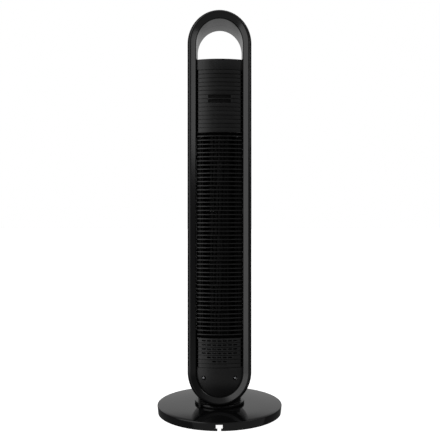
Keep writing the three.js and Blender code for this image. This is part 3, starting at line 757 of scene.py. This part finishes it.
# ---- CAD nodes that stay: their own finish, and softened edges ----
# The motor's bells are dull like cast metal, so that they don't glint through the vent slots.
for name, node in frame["nodes"].items():
    if node.hide_render:
        continue
    finish = IRON if name.endswith("_bell") else FINISH_OF_SLOT[SLOT_OF_NODE[name]]
    node.data.materials.clear()
    node.data.materials.append(finish)
    add_bevel(node, 0.2, 1)

# ---- Floor, light and camera ----
scene = bpy.context.scene
scene.view_settings.view_transform = "Standard"

floor_mesh = bpy.data.meshes.new("floor")
floor_mesh.from_pydata([(-30, -30, 0), (30, -30, 0), (30, 30, 0), (-30, 30, 0)], [], [(0, 1, 2, 3)])
floor = bpy.data.objects.new("floor", floor_mesh)
scene.collection.objects.link(floor)
paper = bpy.data.materials.new("floor_paper")
paper.use_nodes = True
paper_shader = paper.node_tree.nodes["Principled BSDF"]
paper_shader.inputs["Base Color"].default_value = (0.8, 0.8, 0.8, 1)
paper_shader.inputs["Roughness"].default_value = 0.9
paper_shader.inputs["Emission Color"].default_value = (1, 1, 1, 1)
paper_shader.inputs["Emission Strength"].default_value = 1.0
floor_mesh.materials.append(paper)
floor.visible_glossy = False
floor.visible_diffuse = False
floor.visible_shadow = False

# The room: a white backdrop to look at, and soft panels of light around a dim studio.
world = bpy.data.worlds.new("studio")
scene.world = world
world.use_nodes = True
nodes, links = world.node_tree.nodes, world.node_tree.links


def maths(operation, *values):
    node = nodes.new("ShaderNodeMath")
    node.operation = operation
    for socket, value in zip(node.inputs, values):
        if isinstance(value, (int, float)):
            socket.default_value = value
        else:
            links.new(value, socket)
    return node.outputs["Value"]


def fall(value, start, end):
    """1 up to start, easing to 0 at end, both in degrees."""
    node = nodes.new("ShaderNodeMapRange")
    node.interpolation_type = "SMOOTHSTEP"
    node.inputs["From Min"].default_value = math.radians(start)
    node.inputs["From Max"].default_value = math.radians(end)
    node.inputs["To Min"].default_value = 1
    node.inputs["To Max"].default_value = 0
    links.new(value, node.inputs["Value"])
    return node.outputs["Result"]


around = nodes.new("ShaderNodeSeparateXYZ")
links.new(nodes.new("ShaderNodeTexCoord").outputs["Generated"], around.inputs["Vector"])
azimuth = maths("ARCTAN2", around.outputs["X"], around.outputs["Y"])
height = maths("ARCSINE", around.outputs["Z"])


def panel_light(centre, half, soft, low, low_soft, high, high_soft, strength):
    """A soft-edged panel. centre is its azimuth from +Y towards +X, in degrees."""
    turn = maths("WRAP", maths("SUBTRACT", azimuth, math.radians(centre)), math.pi, -math.pi)
    across = fall(maths("ABSOLUTE", turn), half, half + soft)
    under = fall(maths("MULTIPLY", height, -1), -low, -low + low_soft)
    over = fall(height, high, high + high_soft)
    return maths("MULTIPLY", maths("MULTIPLY", maths("MULTIPLY", across, under), over), strength)


AMBIENT = 0.09
lights = maths("ADD", panel_light(180, 16, 10, -50, 10, 19, 6, 0.43), AMBIENT)
for panel in (
    (53, 14, 22, -14, 3, 40, 30, 1.45),
    (-20, 68, 4, -60, 20, -14, 5, 0.16),
    (0, 180, 1, 50, 30, 91, 1, 0.2),
):
    lights = maths("ADD", lights, panel_light(*panel))
seen = nodes.new("ShaderNodeLightPath").outputs["Is Camera Ray"]
strength = nodes.new("ShaderNodeMix")
links.new(seen, strength.inputs["Factor"])
links.new(lights, strength.inputs["A"])
strength.inputs["B"].default_value = 1.0
background = nodes["Background"]
background.inputs["Color"].default_value = (1, 1, 1, 1)
links.new(strength.outputs["Result"], background.inputs["Strength"])

# A soft box at the tower's side, near enough to light the ring's slope only high up.
softbox_data = bpy.data.lights.new("softbox", "AREA")
softbox_data.shape = "RECTANGLE"
softbox_data.size = 0.5
softbox_data.size_y = 0.62
softbox_data.energy = 1.5
softbox = bpy.data.objects.new("softbox", softbox_data)
scene.collection.objects.link(softbox)
softbox.location = (-1.06, 0.563, 1.03)
aim = Vector((0, 0, 0.7)) - softbox.location
softbox.rotation_euler = aim.to_track_quat("-Z", "Y").to_euler()
softbox.visible_camera = False

FOCAL_PX, PHOTO_PX = 625, 440  # focal length and width, in the photograph's pixels
SENSOR = 36
camera_data = bpy.data.cameras.new("camera")
camera_data.lens = FOCAL_PX / PHOTO_PX * SENSOR
camera_data.sensor_width = SENSOR
camera_data.shift_x = -0.0065
camera = bpy.data.objects.new("camera", camera_data)
scene.collection.objects.link(camera)
camera.location = (-0.008, 1.525, 0.466)
camera.rotation_euler = (math.radians(90), 0, math.radians(180))
scene.camera = camera
